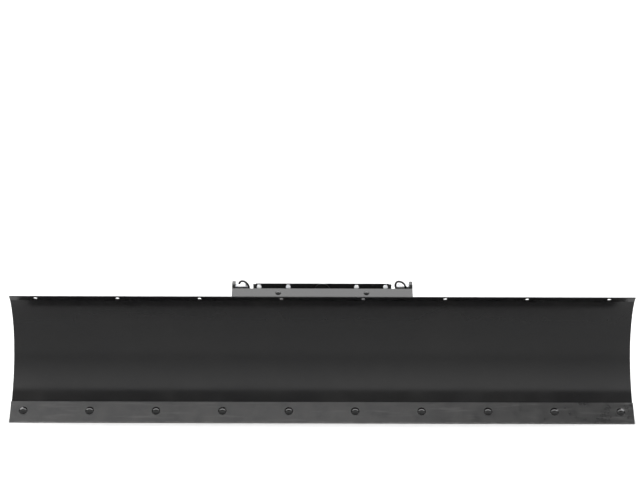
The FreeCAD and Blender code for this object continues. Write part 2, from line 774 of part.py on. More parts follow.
def bar_bolt(x):
    """Hex bolt through the crossbar and the plate behind it, with its nut."""
    back = BAR_Y + BAR_T + DOUBLER_T
    seat = Vector(x, BAR_Y, BAR_BOLT_Z)
    bolt = hex_bolt(seat, Y, BAR_BOLT_R, BAR_BOLT_FLATS, BAR_BOLT_HEAD, back - BAR_Y + BAR_BOLT_NUT + 3)
    end_nut = hexagon(Vector(x, back + FIT, BAR_BOLT_Z), Y, BAR_BOLT_FLATS, BAR_BOLT_NUT)
    return bolt.fuse(end_nut)


def lift_lug():
    """Round-topped eye for the winch hook, on the front of the crossbar."""
    y0 = BAR_Y - LUG_T
    base = block(-LUG_HALF, LUG_HALF, y0, BAR_Y, BAR_LOW + 4, LUG_HOLE_Z)
    top = rod(Vector(0, y0, LUG_HOLE_Z), Y, LUG_HALF, LUG_T)
    return fuse_all([base, top]).cut(rod(Vector(0, y0, LUG_HOLE_Z), Y, LUG_HOLE_R, LUG_T))


UPPER_PLATE_FRONT = 128.0
UPPER_PLATE_SIDE = 166.0  # where its side edges turn inward
NOSE_R = 46.0


def kingpin_upper_plate():
    """Plate between the trip arms that holds the kingpin's head."""
    tip_x = NOSE_R - 2
    tip_y = KING_Y + NOSE_R - 17
    right = [(ARM_X, UPPER_PLATE_FRONT), (ARM_X, UPPER_PLATE_SIDE), (tip_x, tip_y)]
    left = [(-x, y) for x, y in reversed(right)]
    corners = [Vector(x, y, UPPER_PLATE_Z) for x, y in right + left]
    web = Part.Face(Part.makePolygon(corners + corners[:1])).extrude(Z * PLATE_10)
    nose = rod(Vector(0, KING_Y, UPPER_PLATE_Z), Z, NOSE_R, PLATE_10)
    return fuse_all([web, nose]).cut(rod(Vector(0, KING_Y, UPPER_PLATE_Z), Z, KING_R + FIT, PLATE_10))


def detent_holes():
    middle = (DETENT_COUNT - 1) / 2
    holes = []
    for i in range(DETENT_COUNT):
        turn = math.radians((i - middle) * DETENT_STEP)
        place = Vector(DETENT_R * math.sin(turn), KING_Y + DETENT_R * math.cos(turn), SECTOR_Z - 1)
        holes.append(rod(place, Z, LOCK_R + 0.5, PLATE_10 + 2))
    return holes


def sector_plate():
    """Lower kingpin plate with a row of detent holes for the angle lock."""
    y0 = PIVOT_Y + TUBE_R + 3
    disc = rod(Vector(0, KING_Y, SECTOR_Z), Z, SECTOR_R, PLATE_10)
    rear_half = block(-SECTOR_R, SECTOR_R, KING_Y, REAR_Y, SECTOR_Z, SECTOR_Z + PLATE_10)
    root = block(-ARM_X, ARM_X, y0, KING_Y + 14, SECTOR_Z, SECTOR_Z + PLATE_10)
    whole = fuse_all([disc.common(rear_half), root])
    pin_hole = rod(Vector(0, KING_Y, SECTOR_Z - 1), Z, KING_R + FIT, PLATE_10 + 2)
    return cut_all(whole, [pin_hole] + detent_holes())


KING_TOP = UPPER_PLATE_Z + PLATE_10
KING_WASHER = 3.0
KING_WASHER_R = 28.0
KING_NUT = 22.0
KING_NUT_FLATS = 46.0
KING_HEAD_R = 24.0
KING_HEAD_H = 9.0
COTTER_Z = SECTOR_Z - KING_WASHER - KING_NUT - 4
COTTER_R = 2.2
COTTER_HALF = 22.0
COTTER_EYE_R = 4.0
COTTER_WIRE_R = 1.5


def kingpin():
    low = COTTER_Z - 8
    shank = rod(Vector(0, KING_Y, low), Z, KING_R, KING_TOP - low)
    head = Part.makeCone(KING_HEAD_R, KING_HEAD_R - 3, KING_HEAD_H, Vector(0, KING_Y, KING_TOP), Z)
    hole = rod(Vector(0, KING_Y - COTTER_HALF, COTTER_Z), Y, COTTER_R + GAP, 2 * COTTER_HALF)
    return shank.fuse(head).cut(hole)


def kingpin_washer():
    return washer(Vector(0, KING_Y, SECTOR_Z), Z * -1, KING_WASHER_R, KING_R, KING_WASHER)


def kingpin_nut():
    return nut(Vector(0, KING_Y, SECTOR_Z - KING_WASHER), Z * -1, KING_NUT_FLATS, KING_NUT, KING_R)


def cotter():
    """Split pin below the kingpin's nut, with its eye in front."""
    front = Vector(0, KING_Y - COTTER_HALF, COTTER_Z)
    pin = rod(front, Y, COTTER_R, 2 * COTTER_HALF)
    return pin.fuse(Part.makeTorus(COTTER_EYE_R, COTTER_WIRE_R, front - Y * (COTTER_EYE_R - 1), Z))


LOWER_NUT_H = 7.0


def lower_spring_bolt(side):
    """Bolt through the trip arm that takes the trip spring's lower hook."""
    inner = Vector(side * ARM_X, SPRING_LOW_Y, SPRING_LOW_Z)
    out = X * side
    seat = ARM_T + FIT
    end_seat = seat + LOWER_NUT_H + HOOK_ROOM + 2
    bolt = hex_bolt(inner, out, SPRING_BOLT_R, SPRING_NUT_FLATS, LOWER_NUT_H, end_seat + THIN_NUT_H + 2)
    lock_nut = hexagon(inner + out * seat, out, SPRING_NUT_FLATS, LOWER_NUT_H)
    end_nut = hexagon(inner + out * end_seat, out, SPRING_NUT_FLATS, THIN_NUT_H)
    return fuse_all([bolt, lock_nut, end_nut])


def trip_spring(side):
    """Tension spring: a coil body with a hooked eye at each end."""
    top = Vector(side * SPRING_X, SPRING_BOLT_Y, SPRING_BOLT_Z)
    low = Vector(side * SPRING_X, SPRING_LOW_Y, SPRING_LOW_Z)
    along = (low - top).normalize()
    length = (low - top).Length
    cap = 2 * WIRE_R
    body = pipe(top + along * SPRING_END, along, SPRING_R, SPRING_CORE_R, length - 2 * SPRING_END)
    parts = [body]
    for anchor, way in ((top, along), (low, along * -1)):
        parts.append(Part.makeTorus(HOOK_R, WIRE_R, anchor, X))
        parts.append(rod(anchor + way * HOOK_R, way, WIRE_R, SPRING_END - HOOK_R + WIRE_R))
        parts.append(rod(anchor + way * SPRING_END, way, SPRING_R, cap))
    return fuse_all(parts)


# ---- push head ----------------------------------------------------------------
BARREL_LOW = SECTOR_Z + PLATE_10 + 4
BARREL_HIGH = UPPER_PLATE_Z - 4
BARREL_FLANGE = 3.5
BARREL_SLEEVE = 30.0
GREASE_Z = 200.0
GREASE_R = 3.5
GREASE_FLATS = 10.0
GREASE_HEX_H = 4.0
GREASE_TIP_R = 2.2
LOCK_Y = KING_Y + DETENT_R
HOUSING_R = 16.0
HOUSING_LOW = 126.0
HOUSING_HIGH = 250.0
CHAMBER_LOW = 140.0
CHAMBER_R = 12.2
CAP_H = 12.0


def swivel_barrel():
    low = Vector(0, KING_Y, BARREL_LOW)
    barrel = pipe(low, Z, BARREL_R, BARREL_BORE, BARREL_HIGH - BARREL_LOW)
    return barrel.cut(rod(Vector(0, KING_Y, GREASE_Z), Y * -1, GREASE_R, BARREL_R + 2))


def barrel_bushing(low):
    """Flanged bushing at one end of the barrel."""
    z = BARREL_LOW if low else BARREL_HIGH
    way = Z if low else Z * -1
    sleeve = pipe(Vector(0, KING_Y, z), way, BARREL_BORE, KING_R + FIT, BARREL_SLEEVE)
    flange = pipe(Vector(0, KING_Y, z), way * -1, BARREL_R - 2, KING_R + FIT, BARREL_FLANGE)
    return sleeve.fuse(flange)


def grease_fitting():
    """Nipple screwed into the front of the barrel."""
    forward = Y * -1
    inner = Vector(0, KING_Y - BARREL_BORE - 3, GREASE_Z)
    face = Vector(0, KING_Y - BARREL_R, GREASE_Z)
    stem = rod(inner, forward, GREASE_R - FIT, inner.y - face.y + 1)
    body = hexagon(face, forward, GREASE_FLATS, GREASE_HEX_H)
    tip = Part.makeCone(GREASE_R, GREASE_TIP_R, 2 * GREASE_HEX_H, face + forward * GREASE_HEX_H, forward)
    return fuse_all([stem, body, tip])


def head_neck():
    """Box tube from the swivel barrel to the beam."""
    half = BEAM_D / 2
    wall = BEAM_WALL
    outer = block(-half, half, KING_Y, BEAM_Y, BEAM_Z, BEAM_Z + BEAM_H)
    inner = block(-half + wall, half - wall, KING_Y, BEAM_Y, BEAM_Z + wall, BEAM_Z + BEAM_H - wall)
    around = rod(Vector(0, KING_Y, BEAM_Z - 1), Z, BARREL_R + WELD_GAP, BEAM_H + 2)
    return outer.cut(inner).cut(around)


def head_beam():
    wall = BEAM_WALL
    outer = block(-BEAM_HALF, BEAM_HALF, BEAM_Y, BEAM_Y + BEAM_D, BEAM_Z, BEAM_Z + BEAM_H)
    outer = outer.makeFillet(BEAM_CORNER_R, edges_along(outer, X))
    inner = block(
        -BEAM_HALF,
        BEAM_HALF,
        BEAM_Y + wall,
        BEAM_Y + BEAM_D - wall,
        BEAM_Z + wall,
        BEAM_Z + BEAM_H - wall,
    )
    hole = rod(Vector(0, LOCK_Y, BEAM_Z - 1), Z, HOUSING_R + FIT, BEAM_H + 2)
    return outer.cut(inner).cut(hole)


def beam_cap(side):
    """Plate that closes one end of the beam."""
    x0 = min(side * BEAM_HALF, side * (BEAM_HALF + CAP_T))
    rim = 2.0
    y1 = BEAM_Y + BEAM_D - rim
    return block(x0, x0 + CAP_T, BEAM_Y + rim, y1, BEAM_Z + rim, BEAM_Z + BEAM_H - rim)


def push_ear(x0):
    """Rounded lug with the bore for a push-tube pin."""
    root_y = BEAM_Y + BEAM_D
    plate = block(x0, x0 + EAR_T, root_y, PUSH_Y, PUSH_Z - PUSH_EAR_R, PUSH_Z + PUSH_EAR_R)
    nose = rod(Vector(x0, PUSH_Y, PUSH_Z), X, PUSH_EAR_R, EAR_T)
    return fuse_all([plate, nose]).cut(rod(Vector(x0, PUSH_Y, PUSH_Z), X, PUSH_R, EAR_T))


def push_clevis(side):
    """Two lugs that take the end of a push tube."""
    middle = side * CLEVIS_X
    return [push_ear(middle - CLEVIS_GAP / 2 - EAR_T), push_ear(middle + CLEVIS_GAP / 2)]


def plunger_housing():
    body = rod(Vector(0, LOCK_Y, HOUSING_LOW), Z, HOUSING_R, HOUSING_HIGH - HOUSING_LOW)
    guide = rod(Vector(0, LOCK_Y, HOUSING_LOW), Z, LOCK_R + FIT, CHAMBER_LOW - HOUSING_LOW)
    chamber = rod(Vector(0, LOCK_Y, CHAMBER_LOW), Z, CHAMBER_R, HOUSING_HIGH - CHAMBER_LOW)
    return body.cut(guide).cut(chamber)


def housing_cap():
    return pipe(Vector(0, LOCK_Y, HOUSING_HIGH), Z, HOUSING_R, LOCK_R + FIT, CAP_H)


COLLAR_Z = CHAMBER_LOW + LOCK_TRAVEL + 2
COLLAR_H = 6.0
COLLAR_R = CHAMBER_R - 0.6
PIN_LOW = SECTOR_Z + PLATE_10 + 2
PIN_TOP = 300.0
HANDLE_UP = 10.0
HANDLE_HALF = 45.0
HANDLE_R = 6.0
HANDLE_BOSS_R = 11.0


def lock_pin():
    """Spring-loaded pin with a collar, drawn up out of the sector plate at rest."""
    nose_h = 3.0
    nose = Part.makeCone(LOCK_R - 2, LOCK_R, nose_h, Vector(0, LOCK_Y, PIN_LOW), Z)
    shank = rod(Vector(0, LOCK_Y, PIN_LOW + nose_h), Z, LOCK_R, PIN_TOP - PIN_LOW - nose_h)
    collar = rod(Vector(0, LOCK_Y, COLLAR_Z), Z, COLLAR_R, COLLAR_H)
    return fuse_all([nose, shank, collar])


def lock_spring():
    low = COLLAR_Z + COLLAR_H
    return pipe(Vector(0, LOCK_Y, low), Z, COLLAR_R, LOCK_R + 0.5, HOUSING_HIGH - GAP - low)


def pull_handle():
    """T-handle on the top of the lock pin."""
    middle = Vector(0, LOCK_Y, PIN_TOP + HANDLE_UP)
    boss = rod(Vector(0, LOCK_Y, PIN_TOP), Z, HANDLE_BOSS_R, 2 * HANDLE_UP - 2)
    grip = rod(middle - X * HANDLE_HALF, X, HANDLE_R, 2 * HANDLE_HALF)
    ends = [Part.makeSphere(HANDLE_R + 1.5, middle + X * s * HANDLE_HALF) for _, s in SIDES]
    return fuse_all([boss, grip] + ends)


# ---- write the nodes ----------------------------------------------------------
def blade_nodes():
    nodes = {
        "moldboard": moldboard(),
        "wear_bar": wear_bar(),
        "wear_bar_bolts": [edge_bolt(x) for x in EDGE_X],
        "wear_bar_washers": [edge_washer(x) for x in EDGE_X],
        "wear_bar_nuts": [edge_nut(x) for x in EDGE_X],
        "lower_backing_bar": backing_bar(),
        "stiffener_tube": stiffener_tube(),
        "top_angle": top_angle(),
        "spring_plate": spring_plate(),
        "spring_plate_bolts": [plate_bolt(s) for _, s in SIDES],
        "stop_bumpers": [bumper(s) for _, s in SIDES],
        "bumper_bolts": [bumper_bolt(s) for _, s in SIDES],
        "upper_spring_bolts": [upper_spring_bolt(s) for _, s in SIDES],
        "trip_shaft": trip_shaft(),
        "shaft_washers": [shaft_washer(s) for _, s in SIDES],
        "shaft_nuts": [shaft_nut(s) for _, s in SIDES],
        "shoe_sockets": [shoe_socket(s) for _, s in SIDES],
        "upper_spacers": [upper_spacer(s, i) for _, s in SIDES for i in range(UPPER_SPACERS)],
    }
    for name, side in SIDES:
        nodes["end_rib_" + name] = end_rib(side)
        nodes["shoe_rib_" + name] = shoe_rib(side)
        nodes["centre_rib_" + name] = centre_rib(side)
    return nodes


def trip_frame_nodes():
    nodes = {
        "trip_pivot_tube": trip_pivot_tube(),
        "pivot_bushings": [pivot_bushing(s) for _, s in SIDES],
        "crossbar": crossbar(),
        "crossbar_doubler": crossbar_doubler(),
        "crossbar_bolts": [bar_bolt(x) for x in bar_bolt_places()],
        "lift_lug": lift_lug(),
        "kingpin_upper_plate": kingpin_upper_plate(),
        "sector_plate": sector_plate(),
        "kingpin": kingpin(),
        "kingpin_washer": kingpin_washer(),
        "kingpin_nut": kingpin_nut(),
        "cotter": cotter(),
        "lower_spring_bolts": [lower_spring_bolt(s) for _, s in SIDES],
    }
    for name, side in SIDES:
        nodes["trip_arm_" + name] = trip_arm(side)
        nodes["trip_spring_" + name] = trip_spring(side)
    return nodes


def push_head_nodes():
    nodes = {
        "swivel_barrel": swivel_barrel(),
        "barrel_bushings": [barrel_bushing(True), barrel_bushing(False)],
        "grease_fitting": grease_fitting(),
        "head_neck": head_neck(),
        "head_beam": head_beam(),
        "beam_caps": [beam_cap(s) for _, s in SIDES],
        "plunger_housing": plunger_housing(),
        "housing_cap": housing_cap(),
        "lock_pin": lock_pin(),
        "lock_spring": lock_spring(),
        "pull_handle": pull_handle(),
    }
    for name, side in SIDES:
        nodes["push_clevis_" + name] = push_clevis(side)
    return nodes


def shoe_nodes():
    nodes = {}
    for name, side in SIDES:
        nodes["skid_shoe_" + name] = skid_shoe(side)
        nodes["lower_spacers_" + name] = [lower_spacer(side, i) for i in range(LOWER_SPACERS)]
        nodes["lynch_pin_" + name] = lynch_pin(side)
    return nodes


os.makedirs("parts", exist_ok=True)
for group in (blade_nodes(), trip_frame_nodes(), push_head_nodes(), shoe_nodes()):
    for node, shapes in group.items():
        export(node, shapes)
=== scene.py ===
import json
import math

import bpy
from mathutils import Matrix, Vector


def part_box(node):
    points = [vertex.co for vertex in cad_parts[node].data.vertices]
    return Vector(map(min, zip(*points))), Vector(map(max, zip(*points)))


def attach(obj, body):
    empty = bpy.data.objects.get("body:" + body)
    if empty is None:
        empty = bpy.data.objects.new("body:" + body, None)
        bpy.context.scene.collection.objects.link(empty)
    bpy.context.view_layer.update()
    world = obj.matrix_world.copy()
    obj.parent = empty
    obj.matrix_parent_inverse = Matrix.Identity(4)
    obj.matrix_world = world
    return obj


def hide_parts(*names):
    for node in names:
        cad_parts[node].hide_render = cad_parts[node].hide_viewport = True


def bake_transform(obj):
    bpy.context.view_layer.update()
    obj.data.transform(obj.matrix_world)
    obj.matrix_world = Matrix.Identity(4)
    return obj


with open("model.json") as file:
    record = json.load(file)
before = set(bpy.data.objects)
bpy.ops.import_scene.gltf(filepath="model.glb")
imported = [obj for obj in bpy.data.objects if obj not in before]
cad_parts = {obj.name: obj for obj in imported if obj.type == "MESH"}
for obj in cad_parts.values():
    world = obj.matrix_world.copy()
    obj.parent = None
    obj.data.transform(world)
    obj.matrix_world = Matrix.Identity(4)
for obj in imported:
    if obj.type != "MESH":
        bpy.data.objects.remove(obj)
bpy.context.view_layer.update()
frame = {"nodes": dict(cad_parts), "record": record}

# Spring-trip plow blade. Everything is in metres, in the frame's axes: X to the right seen
# from the front, Y to the rear, Z up, with the origin on the ground in the middle.

MM = 0.001
SIDES = (("left", -1.0), ("right", 1.0))


# ---- the blade's profile, as in the design ------------------------------------
FRONT_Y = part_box("wear_bar")[0].y      # the cutting edge's front bottom corner
LEAN = math.radians(32.0)
WEAR_T = 9.5 * MM
SHEET_T = 3.0 * MM
FLAT_TOP_Z = 64.0 * MM
LOWER_R = 270.0 * MM
UPPER_R = 210.5 * MM


def yz(angle, radius=1.0):
    """A step in the YZ plane, angle up from the rear in radians."""
    return Vector((0.0, radius * math.cos(angle), radius * math.sin(angle)))


UP_FACE = Vector((0.0, math.sin(LEAN), math.cos(LEAN)))
INTO_FACE = yz(-LEAN)
CORNER = Vector((0.0, FRONT_Y, 0.0))


def on_face(up, depth):
    return CORNER + UP_FACE * up + INTO_FACE * depth


FLAT_UP = (FLAT_TOP_Z - INTO_FACE.z * WEAR_T) / UP_FACE.z
LOWER_C = on_face(FLAT_UP, WEAR_T) - INTO_FACE * LOWER_R
UPPER_C = LOWER_C + Vector((0.0, LOWER_R - UPPER_R, 0.0))


def sheet_back(angle):
    """A point on the sheet's back, by its angle on the roll in degrees."""
    turn = math.radians(angle)
    if angle < 0:
        return LOWER_C + yz(turn, LOWER_R + SHEET_T)
    return UPPER_C + yz(turn, UPPER_R + SHEET_T)


# ---- materials ----------------------------------------------------------------
def shader(name, color, rough, metallic=0.0, specular=0.5):
    """A new material with its shader's constants set on the shader itself."""
    material = bpy.data.materials.new(name)
    material.use_nodes = True
    bsdf = material.node_tree.nodes["Principled BSDF"]
    bsdf.inputs["Base Color"].default_value = (*color, 1.0)
    bsdf.inputs["Roughness"].default_value = rough
    bsdf.inputs["Metallic"].default_value = metallic
    bsdf.inputs["Specular IOR Level"].default_value = specular
    return material, material.node_tree, bsdf


def noise(tree, scale, detail=3.0, rough=0.55, stretch=None):
    """Noise in the object's own metres. stretch scales the axes first."""
    place = tree.nodes.new("ShaderNodeTexCoord").outputs["Object"]
    if stretch:
        mapping = tree.nodes.new("ShaderNodeMapping")
        mapping.inputs["Scale"].default_value = stretch
        tree.links.new(place, mapping.inputs["Vector"])
        place = mapping.outputs["Vector"]
    texture = tree.nodes.new("ShaderNodeTexNoise")
    texture.inputs["Scale"].default_value = scale
    texture.inputs["Detail"].default_value = detail
    texture.inputs["Roughness"].default_value = rough
    tree.links.new(place, texture.inputs["Vector"])
    return texture.outputs["Fac"]


def remap(tree, value, low, high, to_low, to_high):
    node = tree.nodes.new("ShaderNodeMapRange")
    for key, number in (("From Min", low), ("From Max", high), ("To Min", to_low), ("To Max", to_high)):
        node.inputs[key].default_value = number
    tree.links.new(value, node.inputs["Value"])
    return node.outputs["Result"]


def math_node(tree, operation, a, b):
    node = tree.nodes.new("ShaderNodeMath")
    node.operation = operation
    for socket, value in zip(node.inputs, (a, b)):
        if isinstance(value, (int, float)):
            socket.default_value = value
        else:
            tree.links.new(value, socket)
    return node.outputs[0]


def mix_color(tree, factor, a, b):
    node = tree.nodes.new("ShaderNodeMix")
    node.data_type = "RGBA"
    for socket, value in ((node.inputs[0], factor), (node.inputs[6], a), (node.inputs[7], b)):
        if hasattr(value, "is_linked"):
            tree.links.new(value, socket)
        elif isinstance(value, tuple):
            socket.default_value = (*value, 1.0)
        else:
            socket.default_value = value
    return node.outputs[2]


def bump(tree, bsdf, layers):
    """Stacks bumps: each layer is (height, distance in metres, strength)."""
    normal = None
    for height, distance, strength in layers:
        node = tree.nodes.new("ShaderNodeBump")
        node.inputs["Distance"].default_value = distance
        node.inputs["Strength"].default_value = strength
        tree.links.new(height, node.inputs["Height"])
        if normal:
            tree.links.new(normal, node.inputs["Normal"])
        normal = node.outputs["Normal"]
    tree.links.new(normal, bsdf.inputs["Normal"])


def grey(level):
    return (level, level, level)


NOISE_SPAN = (0.3, 0.7)   # nearly all of a noise's values lie between these


def patches(tree, scale, levels, result=(0.0, 1.0), detail=3.0):
    """Noise whose values between two levels are spread over a range."""
    return remap(tree, noise(tree, scale, detail), *levels, *result)


EDGE_TURN = (0.80, 0.97)  # cosines between which a rounded normal counts as on an edge


def edge_mask(tree, radius):
    """1 on sharp outside edges, from how far a rounded normal turns from the face's own."""
    rounded = tree.nodes.new("ShaderNodeBevel")
    rounded.samples = 4
    rounded.inputs["Radius"].default_value = radius
    plain = tree.nodes.new("ShaderNodeNewGeometry").outputs["Normal"]
    dot = tree.nodes.new("ShaderNodeVectorMath")
    dot.operation = "DOT_PRODUCT"
    tree.links.new(rounded.outputs["Normal"], dot.inputs[0])
    tree.links.new(plain, dot.inputs[1])
    turned, flat = EDGE_TURN
    return remap(tree, dot.outputs["Value"], flat, turned, 0.0, 1.0)


def rubbed_edges(tree, radius, amount):
    return math_node(tree, "MULTIPLY", edge_mask(tree, radius), amount)


RUBBED_STEEL = (0.16, 0.155, 0.15)
COAT_SPECULAR = 0.21


def coat(name, color, dust, rough, wear, specular=COAT_SPECULAR):
    """Powder coat on steel: orange peel, cloudy gloss, thin dust and rubbed edges."""
    material, tree, bsdf = shader(name, color, rough, 0.0, specular)
    dusty = mix_color(tree, patches(tree, 5.0, (0.42, 0.72), detail=4.0), color, dust)
    rub = rubbed_edges(tree, 0.0009, wear)
    rub = math_node(tree, "MULTIPLY", rub, patches(tree, 160.0, (0.45, 0.6)))
    tree.links.new(mix_color(tree, rub, dusty, RUBBED_STEEL), bsdf.inputs["Base Color"])
    gloss = patches(tree, 14.0, NOISE_SPAN, (rough - 0.035, rough + 0.05), 4.0)
    tree.links.new(gloss, bsdf.inputs["Roughness"])
    orange_peel = (noise(tree, 420.0, 2.0), 0.00006, 0.55)
    grain = (noise(tree, 1500.0, 1.0), 0.00003, 0.25)
    waves = (noise(tree, 5.0, 1.0, 0.5, (0.5, 1.0, 1.0)), 0.0007, 0.35)
    bump(tree, bsdf, [orange_peel, grain, waves])
    return material


EDGE_COAT = (0.0115, 0.0115, 0.012)
EDGE_MOTTLE = (0.017, 0.0167, 0.0163)
EDGE_SCUFF = (0.030, 0.0295, 0.029)
EDGE_BARE = (0.30, 0.295, 0.285)
EDGE_WEAR = 0.08          # how much bare steel shows on edges and along the ground
EDGE_POLISH = 0.16        # how much smoother the steel gets towards the right


def edge_steel():
    """Cutting edge: thin dark coat over mill scale, darkened towards the right as painted shade,
    lightly scuffed.
    """
    material, tree, bsdf = shader("edge_steel", EDGE_COAT, 0.42, 0.0, 0.25)
    place = tree.nodes.new("ShaderNodeTexCoord").outputs["Object"]
    split = tree.nodes.new("ShaderNodeSeparateXYZ")
    tree.links.new(place, split.inputs["Vector"])
    clouds = noise(tree, 26.0, 5.0, 0.65)
    mottled = mix_color(tree, remap(tree, clouds, 0.35, 0.68, 0.0, 1.0), EDGE_COAT, EDGE_MOTTLE)
    # painted shade: the colour darkens towards the right end, where less light falls; the same mask
    # also makes the steel smoother there
    right_shade_and_gloss = remap(tree, split.outputs["X"], 0.0, 0.9, 0.0, 0.9)
    shaded = mix_color(tree, right_shade_and_gloss, mottled, grey(0.004))
    streaks = remap(tree, noise(tree, 90.0, 4.0, 0.6, (0.08, 1.0, 1.0)), 0.56, 0.72, 0.0, 0.6)
    scuffed = mix_color(tree, streaks, shaded, EDGE_SCUFF)
    ragged = math_node(tree, "MULTIPLY", noise(tree, 60.0, 4.0), 0.006)
    height = math_node(tree, "SUBTRACT", split.outputs["Z"], ragged)
    worn = remap(tree, height, 0.0012, -0.0006, 0.0, EDGE_WEAR)
    bare = math_node(tree, "MAXIMUM", worn, rubbed_edges(tree, 0.0011, EDGE_WEAR))
    tree.links.new(mix_color(tree, bare, scuffed, EDGE_BARE), bsdf.inputs["Base Color"])
    tree.links.new(math_node(tree, "MULTIPLY", bare, 0.8), bsdf.inputs["Metallic"])
    polish = math_node(tree, "MULTIPLY", right_shade_and_gloss, EDGE_POLISH)
    rough = math_node(tree, "SUBTRACT", remap(tree, clouds, *NOISE_SPAN, 0.36, 0.52), polish)
    tree.links.new(rough, bsdf.inputs["Roughness"])
    scale = (noise(tree, 520.0, 3.0), 0.00008, 0.6)
    dents = (noise(tree, 45.0, 3.0, 0.6), 0.0003, 0.35)
    brushing = (noise(tree, 260.0, 2.0, 0.5, (0.05, 1.0, 1.0)), 0.0001, 0.4)
    bump(tree, bsdf, [scale, dents, brushing])
    return material


def metal(name, color, tint, rough, scratch=0.4):
    """Bare or plated metal: drifting tint, uneven polish and fine scratches."""
    material, tree, bsdf = shader(name, color, rough, 1.0)
    drift = mix_color(tree, patches(tree, 70.0, (0.35, 0.65)), color, tint)
    tree.links.new(drift, bsdf.inputs["Base Color"])
    polish = patches(tree, 240.0, NOISE_SPAN, (rough - 0.06, rough + 0.1))
    tree.links.new(polish, bsdf.inputs["Roughness"])
    scratches = (noise(tree, 900.0, 2.0, 0.5, (1.0, 0.15, 1.0)), 0.00004, scratch)
    dents = (noise(tree, 120.0, 2.0), 0.00012, 0.25)
    bump(tree, bsdf, [scratches, dents])
    return material


def black_oxide():
    """Glossy black on the dome bolts, thin on their edges."""
    material, tree, bsdf = shader("black_oxide", grey(0.0015), 0.10, 0.0, 0.28)
    patch = mix_color(tree, patches(tree, 130.0, (0.4, 0.65)), grey(0.0012), grey(0.0025))
    worn = mix_color(tree, rubbed_edges(tree, 0.0008, 0.5), patch, grey(0.2))
    tree.links.new(worn, bsdf.inputs["Base Color"])
    gloss = patches(tree, 200.0, NOISE_SPAN, (0.06, 0.14))
    tree.links.new(gloss, bsdf.inputs["Roughness"])
    bump(tree, bsdf, [(noise(tree, 700.0, 2.0), 0.00004, 0.4)])
    return material


def rubber():
    """Matt black with a pale bloom."""
    material, tree, bsdf = shader("bumper_rubber", grey(0.016), 0.7)
    bloom = patches(tree, 60.0, (0.4, 0.7), detail=4.0)
    color = mix_color(tree, bloom, grey(0.014), (0.035, 0.034, 0.033))
    tree.links.new(color, bsdf.inputs["Base Color"])
    tree.links.new(patches(tree, 150.0, NOISE_SPAN, (0.6, 0.8)), bsdf.inputs["Roughness"])
    bump(tree, bsdf, [(noise(tree, 900.0, 2.0), 0.0001, 0.5)])
    return material


def dipped_plastic():
    """Red plastic on the pull handle, slightly uneven."""
    material, tree, bsdf = shader("handle_grip", (0.32, 0.018, 0.015), 0.4)
    fade = patches(tree, 40.0, (0.35, 0.7))
    color = mix_color(tree, fade, (0.30, 0.016, 0.014), (0.38, 0.03, 0.024))
    tree.links.new(color, bsdf.inputs["Base Color"])
    tree.links.new(patches(tree, 90.0, NOISE_SPAN, (0.34, 0.5)), bsdf.inputs["Roughness"])
    bump(tree, bsdf, [(noise(tree, 300.0, 2.0), 0.00015, 0.4)])
    return material


BLACK = (0.0060, 0.0060, 0.0062)
BLACK_DUST = (0.0080, 0.0079, 0.0078)
WELD_DUST = (0.0145, 0.0143, 0.014)
MATERIALS = {
    "black_powder_coat": coat("black_powder_coat", BLACK, BLACK_DUST, 0.17, 0.35),
    "edge_steel": edge_steel(),
    "black_oxide": black_oxide(),
    "zinc_plate": metal("zinc_plate", (0.60, 0.60, 0.59), (0.48, 0.49, 0.52), 0.3),
    "bright_shaft": metal("bright_shaft", (0.52, 0.52, 0.51), (0.42, 0.415, 0.41), 0.26, 0.6),
    "bronze": metal("bronze", (0.60, 0.38, 0.17), (0.48, 0.29, 0.13), 0.34),
    "bumper_rubber": rubber(),
    "spring_wire": coat("spring_wire", grey(0.008), grey(0.012), 0.3, 0.2, 0.13),
    "handle_grip": dipped_plastic(),
}
WELD = coat("weld_coat", BLACK, WELD_DUST, 0.32, 0.1)
# painted shade: a darker, less glossy copy of the powder coat stands in for the shade under the spring
# plate on the crossbar and lift lug; its heavier rubbed edges are partly wear and partly a painted
# highlight on the lug's rim
SHADED_COAT = coat("painted_shade_coat", grey(0.0018), grey(0.003), 0.3, 0.5, 0.05)


# ---- mesh builders ------------------------------------------------------------
def mesh_object(name, vertices, faces, material, smooth=True):
    mesh = bpy.data.meshes.new(name)
    mesh.from_pydata([tuple(v) for v in vertices], [], faces)
    mesh.validate()
    mesh.polygons.foreach_set("use_smooth", [smooth] * len(mesh.polygons))
    mesh.materials.append(material)
    piece = bpy.data.objects.new(name, mesh)
    bpy.context.scene.collection.objects.link(piece)
    return piece


def sweep(points, radii, around):
    """Vertices and faces of a closed round tube along points, turned as little as possible."""
    count = len(points)
    side = None
    vertices = []
    for i, point in enumerate(points):
        ahead = points[min(i + 1, count - 1)] - points[max(i - 1, 0)]
        ahead.normalize()
        if side is None:
            side = ahead.orthogonal().normalized()
        side = (side - ahead * side.dot(ahead)).normalized()
        other = ahead.cross(side)
        for k in range(around):
            turn = 2 * math.pi * k / around
            vertices.append(point + (side * math.cos(turn) + other * math.sin(turn)) * radii[i])
    faces = []
    for i in range(count - 1):
        for k in range(around):
            a = i * around + k
            b = i * around + (k + 1) % around
            faces.append((a, b, b + around, a + around))
    faces.append(tuple(reversed(range(around))))
    faces.append(tuple(range((count - 1) * around, count * around)))
    return vertices, faces


def joined(name, shells, material):
    """One object from several (vertices, faces) shells."""
    vertices = []
    faces = []
    for some_vertices, some_faces in shells:
        start = len(vertices)
        vertices += some_vertices
        faces += [tuple(i + start for i in face) for face in some_faces]
    return mesh_object(name, vertices, faces, material)


def walk(points, step):
    """Points spaced evenly along a polyline."""
    spaced = []
    for a, b in zip(points, points[1:]):
        pieces = max(1, round((b - a).length / step))
        spaced += [a.lerp(b, i / pieces) for i in range(pieces)]
    return spaced + [points[-1]]


BEAD_R = 2.6 * MM
BEAD_AROUND = 7
RIPPLE = 2.2 * MM
RIPPLE_STEPS = 3
END_STEPS = 6             # points over which a bead swells to its full size
END_SIZE = 0.35           # its size at the very end


